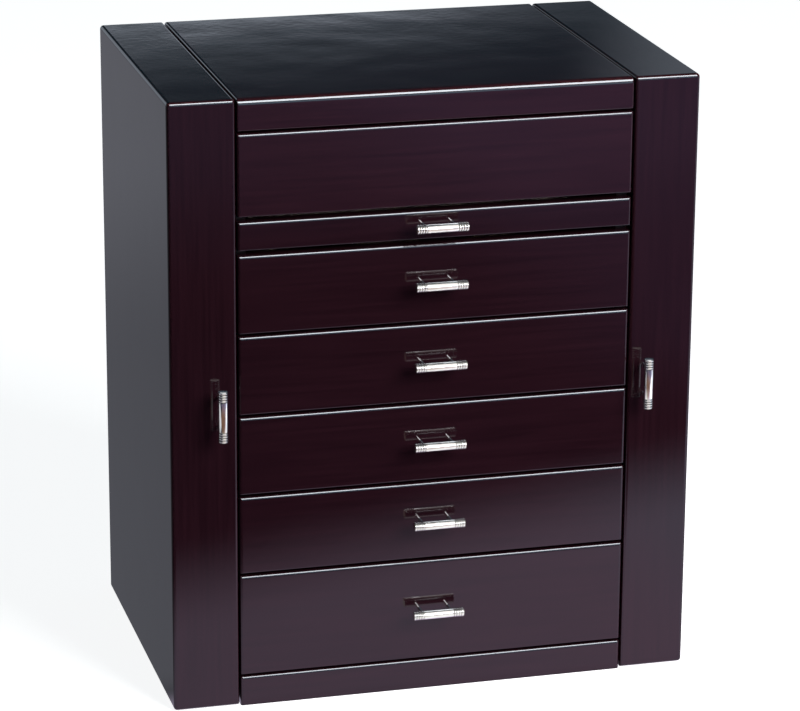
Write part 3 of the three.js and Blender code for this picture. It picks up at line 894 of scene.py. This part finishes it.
def ring_rolls():
    """Twelve velvet rolls side by side, each drawn in a little at its sewn ends."""
    low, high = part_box("tray_ring_rolls")
    pitch = (high.y - low.y) / RING_ROLLS
    radius = pitch / 2 - 0.35 * MM
    rise = high.z - low.z - radius
    ends = [(0, 0.5), (0.006, 0.74), (0.016, 0.88), (0.035, 0.95), (0.07, 0.985), (0.13, 1.0)]
    middle = [(0.13 + 0.74 * step / 12, 1.0) for step in range(1, 12)]
    stations = [*ends, *middle, *((1 - place, size) for place, size in reversed(ends))]
    parts = []
    for roll in range(RING_ROLLS):
        centre = low.y + (roll + 0.5) * pitch
        loops = []
        for place, size in stations:
            x = low.x + place * (high.x - low.x)
            loop = []
            for step in range(17):
                angle = math.pi * step / 16
                loop.append(Vector((
                    x, centre + radius * size * math.cos(angle),
                    low.z + rise + radius * (size * (1 + math.sin(angle)) - 1),
                )))
            for turn, shares in ((-1, ROLL_FLANKS), (1, ROLL_FLANKS[::-1])):
                for share in shares:
                    width = radius * size * (0.97 + 0.03 * share)
                    loop.append(Vector((x, centre + turn * width, low.z + rise * share)))
            for point in loop:
                wrinkle = noise.noise(Vector((point.x * 70, point.y * 26 + roll, point.z * 30)))
                inward = Vector((0, centre - point.y, low.z + rise - point.z)).normalized()
                point += inward * (0.28 * MM * (1 + wrinkle))
                point.z = max(point.z, low.z)
            loops.append(loop)
        parts.append(loft("roll", loops, sharp_degrees=75))
    rolls = joined("ring_rolls_velvet", parts)
    piece(rolls, "case", VELVET, "tray_ring_rolls")


def wing_lining(name, side):
    low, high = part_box(f"{name}_lining")
    panel = soft_block(low, high, 0.8 * MM, 12 * MM, INNER[side], 0.25 * MM, 0.2 * MM, 30)
    panel.name = f"{name}_lining_velvet"
    piece(panel, name, VELVET, f"{name}_lining")


def pocket(name, side):
    """A gathered pocket: cloth sewn to the lining at its foot and sides, drawn in by elastic
    below a frill, and belling out between. t runs up the cloth and s along it, from 0 to 1."""
    low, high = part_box(f"{name}_pocket")
    wall = low.x if side < 0 else high.x
    out = -side
    depth = high.x - low.x
    across, up = 150, 34
    points, faces = [], []
    for row in range(up + 1):
        t = row / up
        belly = math.sin(math.pi * min(1, t / 0.86)) ** 0.75 * (1 - 0.35 * t)
        gather = 0.25 + 0.75 * min(1, max(0, (t - 0.25) / 0.6))
        pinch = math.exp(-((t - POCKET_ELASTIC) / 0.025) ** 2)
        frill = max(0, (t - 0.9) / 0.1)
        for column in range(across + 1):
            s = column / across
            ends = 1 - abs(2 * s - 1) ** 6
            uneven = 0.35 * math.sin(9 * s) + 0.12 * noise.noise((4 * s, 2 * t, 5))
            fold = math.sin(2 * math.pi * (POCKET_GATHERS * s + uneven))
            ripple = fold * (1.5 * gather * (1 - 0.55 * pinch) + 0.9 * frill) * MM
            bulge = depth * (0.30 * t + 0.62 * belly) * (1 - 0.12 * pinch)
            off = 0.9 * MM + ends * max(0, bulge + ripple)
            y = low.y + (high.y - low.y) * s
            dip = 3.5 * MM * t * (1 - abs(2 * s - 1) ** 2.2)
            z = low.z + (high.z - low.z - 1 * MM) * t - dip
            points.append((wall + out * off, y, z))
    for row in range(up):
        for column in range(across):
            start = row * (across + 1) + column
            face = (start, start + 1, start + across + 2, start + across + 1)
            faces.append(face if side < 0 else face[::-1])
    cloth = mesh_object(f"{name}_pocket_cloth", points, faces, 80)
    thicken = cloth.modifiers.new("thickness", "SOLIDIFY")
    thicken.thickness = POCKET_CLOTH
    thicken.offset = -1 if side < 0 else 1
    bake_modifiers(cloth)
    piece(cloth, name, VELVET, f"{name}_pocket")


def hook_rail(name, side):
    """A lacquered rail with six bent-wire hooks, each on a small rose with a ball tip."""
    low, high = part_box(f"{name}_hook_rail")
    wall = low.x if side < 0 else high.x
    out = -side
    face = wall + out * HOOK_RAIL_DEPTH
    rail_low = Vector((min(wall, face), low.y, low.z))
    rail_high = Vector((max(wall, face), high.y, high.z))
    rounds = {f"{INNER[side]}U": 3 * MM, f"{INNER[side]}D": 3 * MM}
    rail = board(f"{name}_hook_rail_wood", rail_low, rail_high, rounds)
    piece(rail, name, LACQUER["y"], f"{name}_hook_rail")
    middle = (low.z + high.z) / 2
    angles = [math.pi * step / 12 for step in range(13)]
    ball_profile = [
        (HOOK_BALL_RADIUS * math.sin(angle), -HOOK_BALL_RADIUS * math.cos(angle)) for angle in angles
    ]
    parts = []
    for hook in range(HOOKS):
        y = low.y + (high.y - low.y) * (hook + 0.5) / HOOKS
        rose = lathe("rose", [
            (0, -1 * MM), (3.6 * MM, -1 * MM), (3.6 * MM, 0.5 * MM), (3.2 * MM, 0.9 * MM),
            (1.9 * MM, 1.2 * MM), (1.6 * MM, 1.8 * MM), (0, 2 * MM),
        ], 28)
        turn = Matrix.Rotation(out * math.pi / 2, 4, "Y")
        rose.matrix_world = Matrix.Translation((face, y, middle)) @ turn
        route = smooth_route([
            (face - out * 1 * MM, y, middle), (face + out * 6 * MM, y, middle - 1 * MM),
            (face + out * 12.5 * MM, y, middle - 3.6 * MM), (face + out * 16 * MM, y, middle - 0.5 * MM),
            (face + out * 15.6 * MM, y, middle + 4.2 * MM),
        ])
        ball = lathe("ball", ball_profile, 24)
        ball.matrix_world = Matrix.Translation(route[-1])
        parts.extend([rose, tube("wire", route, HOOK_WIRE_RADIUS, 14), ball])
    hooks = joined(f"{name}_hooks", parts)
    piece(hooks, name, NICKEL, f"{name}_hook_rail")


# ---------------- hinges
def barrel(start, end, hollow):
    """One knuckle along Z, its rims eased; a hollow one turns on the pin."""
    ease = 0.25 * MM
    bore = PIN_HOLE if hollow else 0
    return lathe("barrel", [
        (bore, start), (KNUCKLE - ease, start), (KNUCKLE, start + ease),
        (KNUCKLE, end - ease), (KNUCKLE - ease, end), (bore, end),
    ], 40)


def hinge_pin(length):
    tip = 0.2 * MM
    return lathe("pin", [
        (0, 0), (PIN_RADIUS - tip, 0), (PIN_RADIUS, tip), (PIN_RADIUS, length - tip),
        (PIN_RADIUS - tip, length), (0, length),
    ], 24)


def hinge_leaf(node, body, fixed, knuckles, screw_spots):
    """A leaf in its CAD node's place: plate, curled knuckles, countersunk screws and, on the
    fixed leaf, the pin. Wing leaves have an upright pin; lid leaves have a level one."""
    low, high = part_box(node)
    upright = high.z - low.z > high.x - low.x
    length = high.z - low.z if upright else high.x - low.x
    width = (high.x - low.x if upright else high.z - low.z) - KNUCKLE
    if upright:
        towards = 1 if fixed == (node.startswith("wing_left")) else -1
        pin = Vector((low.x + KNUCKLE if towards > 0 else high.x - KNUCKLE, high.y - KNUCKLE, low.z))
        turn = Matrix.Identity(4)
    else:
        towards = 1 if fixed else -1
        pin = Vector((low.x, high.y - KNUCKLE, high.z - KNUCKLE if fixed else low.z + KNUCKLE))
        turn = Matrix.Rotation(math.pi / 2, 4, "Y")
    foot = low.y - pin.y
    top = foot + LEAF_THICK
    span = sorted((towards * (KNUCKLE + 0.4 * MM), towards * width))
    neck = sorted((towards * 0.4 * KNUCKLE, towards * (KNUCKLE + 0.8 * MM)))
    parts = [bevelled_box((span[0], foot, 0), (span[1], top, length), least=0.3 * MM, steps=2)]
    pitch = length / knuckles
    for place in range(0 if fixed else 1, knuckles, 2):
        start, end = place * pitch + KNUCKLE_GAP, (place + 1) * pitch - KNUCKLE_GAP
        parts.append(barrel(start, end, not fixed))
        parts.append(bevelled_box(
            (neck[0], foot, start), (neck[1], top, end), least=0.25 * MM, steps=2,
        ))
    if fixed:
        parts.append(hinge_pin(length))
    spots = [Vector((towards * across * width, top, along * length)) for along, across in screw_spots]
    parts += screws(spots)
    leaf = joined(f"{node}_metal", parts)
    leaf.data.transform(Matrix.Translation(pin) @ turn)
    piece(leaf, body, NICKEL, node)


def hinges():
    wing_screws = [((step + 0.5) / 8, 0.68) for step in range(8)]
    lid_screws = [(0.15, 0.6), (0.5, 0.72), (0.85, 0.6)]
    for side in SIDES:
        hinge_leaf(f"wing_{side}_hinge_fixed", "case", True, 17, wing_screws)
        hinge_leaf(f"wing_{side}_hinge_leaf", f"wing_{side}", False, 17, wing_screws)
        hinge_leaf(f"lid_hinge_fixed_{side}", "case", True, 5, lid_screws)
        hinge_leaf(f"lid_hinge_leaf_{side}", "lid", False, 5, lid_screws)


# ---------------- drawers
def drawer(name):
    """One drawer, with the two screws that hold its front to its box."""
    lacquered(f"{name}_front", name)
    softened(f"{name}_box", BOARD, 0.5 * MM)
    drawer_insert(name)
    pull(f"{name}_pull", name)
    low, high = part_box(f"{name}_box")
    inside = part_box(f"{name}_front")[1].y + BOX_GAP + BOX_WALL
    middle = (low.z + high.z) / 2 if high.z - low.z > 30 * MM else high.z - 5 * MM
    spots = [Vector((x, inside, middle)) for x in (low.x + 40 * MM, high.x - 40 * MM)]
    fixing = joined(f"{name}_screws", screws(spots))
    piece(fixing, name, STEEL)


# ---------------- the armoire
case()
tray()
ring_rolls()
lid()
for drawer_name in DRAWERS:
    drawer(drawer_name)
for side_name, side_sign in SIDES.items():
    wing_name = f"wing_{side_name}"
    wing(wing_name, side_sign)
    wing_lining(wing_name, side_sign)
    hook_rail(wing_name, side_sign)
    pocket(wing_name, side_sign)
hinges()


# ---------------- stage, light and camera
def floor():
    """A pale floor. The camera sees it white with faint soft shadows; to every other ray it glows with
    painted light and painted reflection: bright near the armoire's front and dim further off, as on a lit
    table top."""
    corners = [(-9, -9, 0), (9, -9, 0), (9, 9, 0), (-9, 9, 0)]
    plane = mesh_object("floor", corners, [(0, 1, 2, 3)])
    material, n = new_material("pale_floor")
    # painted light for reflections: a pool of light in front, a dim band behind and far off, tinted
    x, y, _ = n.axes("Object")
    ahead = n.math("SUBTRACT", CAD_LOW.y + 0.02, y)
    slant = n.math("ADD", 0.335, n.times(x, 0.33))
    beyond = n.math("SUBTRACT", ahead, slant)
    near = n.remap(beyond, -0.13, 0.12, 1.0, 0.0)
    aside = n.remap(x, -0.55, -0.25, 0.0, 1.0)
    right = n.remap(x, -0.2, 0.5, 0.92, 1.08)
    in_front = n.times(n.remap(ahead, -0.05, 0.02), n.times(near, aside))
    in_front = n.times(in_front, right)
    behind = n.times(n.remap(y, -0.17, -0.05), n.remap(y, 0.8, 1.7, 0.165, 0.245))
    far = n.remap(ahead, 1.1, 1.9)
    far_right = n.times(n.remap(x, 0.3, 0.6), n.remap(ahead, 0.55, 0.9))
    tint = n.mix(n.remap(x, 0.2, 0.36), (0.92, 0.79, 1.06, 1), (0.8, 0.86, 1.12, 1))
    glow = n.scaled(tint, in_front)
    for colour, share in (
        ((1.0, 1.02, 1.16), behind), ((0.12, 0.11, 0.2), far), ((0.07, 0.08, 0.16), far_right),
    ):
        glow = n.plus(glow, n.scaled(colour, share))
    glow = n.plus(glow, (0.012, 0.014, 0.02))
    lit = n.add("ShaderNodeEmission", {"Color": (1, 1, 1, 1), "Strength": 0.9})
    dull = n.add("ShaderNodeBsdfDiffuse", {"Color": (0.8, 0.8, 0.8, 1)})
    seen = n.add("ShaderNodeAddShader", {0: lit.outputs[0], 1: dull.outputs[0]})
    # the painted glow that every ray but the camera's sees
    reflected = n.add("ShaderNodeEmission", {"Color": glow, "Strength": 1.0})
    n.surface(n.seen_by_camera(seen, reflected))
    plane.data.materials.append(material)


def world():
    """White to the camera; to the lacquer, dark in front and overhead, and bright low behind."""
    sky = bpy.data.worlds.new("studio")
    bpy.context.scene.world = sky
    n = Nodes(sky)
    x, y, z = n.axes("Generated")
    azimuth = n.math("ARCTAN2", x, y)
    rear = n.remap(y, -0.1, 0.35)
    edge = n.remap(n.math("ADD", z, n.times(azimuth, 0.06)), 0.2268, 0.2308, 0.55, 0.0)
    edge = n.times(edge, n.remap(azimuth, 0.25, 0.31, 1.0, 0.0))
    haze = n.remap(n.math("ADD", z, n.times(azimuth, 0.125)), 0.2438, 0.2618, 0.14, 0.0, False)
    low = n.math("ADD", edge, haze)
    corner = n.times(n.remap(azimuth, 0.305, 0.35), n.remap(z, 0.32, 0.24))
    bright = n.math("MAXIMUM", low, n.times(corner, 0.28))
    bright = n.times(bright, rear)
    glow = n.plus(n.scaled((0.80, 0.87, 1.0), bright), (0.006, 0.03, 0.042))
    seen = n.add("ShaderNodeBackground", {"Color": (1, 1, 1, 1), "Strength": 1.0})
    around = n.add("ShaderNodeBackground", {"Color": glow, "Strength": 1.0})
    n.add("ShaderNodeOutputWorld", {"Surface": n.seen_by_camera(seen, around)})


LIT_POINT = Vector((0, -0.14, 0.35))
LIGHT_DISTANCE = 2.2


def from_front(azimuth, elevation):
    """The direction that lies so many degrees to the right of the front, and above it."""
    azimuth, elevation = math.radians(azimuth), math.radians(elevation)
    return Vector((
        math.sin(azimuth) * math.cos(elevation), -math.cos(azimuth) * math.cos(elevation),
        math.sin(elevation),
    ))


def area_light(name, width, height, radiance, colour):
    """A rectangular light that the camera doesn't see."""
    light = bpy.data.lights.new(name, "AREA")
    light.shape = "RECTANGLE"
    light.size, light.size_y = width, height
    light.energy = radiance * math.pi * width * height
    light.color = colour
    thing = make_object(name, light)
    thing.visible_camera = False
    return thing


def softbox(name, azimuth, elevation, width, height, radiance, colour=(1, 1, 1), gloss=True):
    """A light facing the armoire's front from one direction, for its gloss alone or for
    everything but gloss."""
    direction = from_front(azimuth, elevation)
    thing = area_light(name, width, height, radiance, colour)
    thing.location = LIT_POINT + direction * LIGHT_DISTANCE
    thing.rotation_euler = direction.to_track_quat("Z", "Y").to_euler()
    thing.visible_diffuse = not gloss
    thing.visible_glossy = gloss


def floor_glow(name, low, high, radiance, colour):
    """A light lying on the floor between two corners and facing up, for gloss alone."""
    thing = area_light(name, high[0] - low[0], high[1] - low[1], radiance, colour)
    thing.location = ((low[0] + high[0]) / 2, (low[1] + high[1]) / 2, 2 * MM)
    thing.rotation_euler = (math.pi, 0, 0)
    thing.visible_diffuse = False


def link_lights():
    """Lights named metal shine on the polished metal only, those named level on the drawer
    pulls only, and the other gloss lights on everything but the metal."""
    groups = {name: bpy.data.collections.new(name) for name in ("metal", "level", "others")}
    for thing in bpy.context.scene.objects:
        if thing.type == "MESH" and NICKEL.name in thing.data.materials:
            groups["metal"].objects.link(thing)
            groups["others"].objects.link(thing)
            if thing.name.startswith("drawer"):
                groups["level"].objects.link(thing)
    for entry in groups["others"].collection_objects:
        entry.light_linking.link_state = "EXCLUDE"
    for light in bpy.context.scene.objects:
        if light.type == "LIGHT" and not light.visible_diffuse:
            group = groups.get(light.name.split("_")[0], groups["others"])
            light.light_linking.receiver_collection = group


CAMERA_AZIMUTH = -15.03  # degrees to the right of the front
CAMERA_ELEVATION = 17.86
CAMERA_ROLL = 0.40
CAMERA_DISTANCE = 2.904
CAMERA_AIM = (-0.0305, 0.2971)  # x and z of the point on the fascia's face that it looks at
SENSOR, LENS = 36, 159.57  # millimetres


def camera():
    """The view: a long lens, from the left and a little above."""
    azimuth, roll = math.radians(CAMERA_AZIMUTH), math.radians(CAMERA_ROLL)
    back = from_front(CAMERA_AZIMUTH, CAMERA_ELEVATION)
    level = Vector((math.cos(azimuth), math.sin(azimuth), 0))
    rise = back.cross(level)
    right = level * math.cos(roll) + rise * math.sin(roll)
    up = rise * math.cos(roll) - level * math.sin(roll)
    target = Vector((CAMERA_AIM[0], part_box("fascia")[0].y, CAMERA_AIM[1]))
    data = bpy.data.cameras.new("camera")
    data.sensor_width = SENSOR
    data.lens = LENS
    thing = make_object("camera", data)
    turn = Matrix((right, up, back)).transposed().to_4x4()
    thing.matrix_world = Matrix.Translation(target + back * CAMERA_DISTANCE) @ turn
    bpy.context.scene.camera = thing


floor()
world()
softbox("key", 32, 28, 1.4, 1.2, 12.5, gloss=False)
softbox("shine", 18, 47, 1.5, 1.0, 24, (0.87, 0.94, 1.0))
softbox("blue_fringe", 15, 14, 1.6, 1.0, 2.2, (0.42, 0.78, 1.0))
softbox("metal_fill", 15, 42, 3.4, 2.6, 1.15, (1.0, 0.965, 0.945))
softbox("level_glint", 15, 14, 1.6, 0.7, 5, (0.90, 0.95, 1.0))
softbox("level_posts", -1, 25, 0.8, 0.6, 24, (0.90, 0.94, 1.0))
floor_glow("metal_left", (-2.6, -0.45), (-0.6, 1.2), 0.85, (0.90, 0.95, 1.0))
floor_glow("metal_right", (0.45, -0.9), (1.6, 0.4), 0.85, (0.90, 0.95, 1.0))
floor_glow("metal_near", (-0.3, -0.45), (0.5, -0.17), 0.33, (0.55, 1.0, 0.25))
floor_glow("metal_ahead", (-1.1, -2.4), (0.95, -0.45), 0.18, (1.0, 0.50, 0.26))
floor_glow("level_fill", (-0.3, -4.5), (1.4, -0.5), 0.5, (1.0, 0.96, 0.93))
link_lights()
camera()
bpy.context.scene.view_settings.view_transform = "Standard"
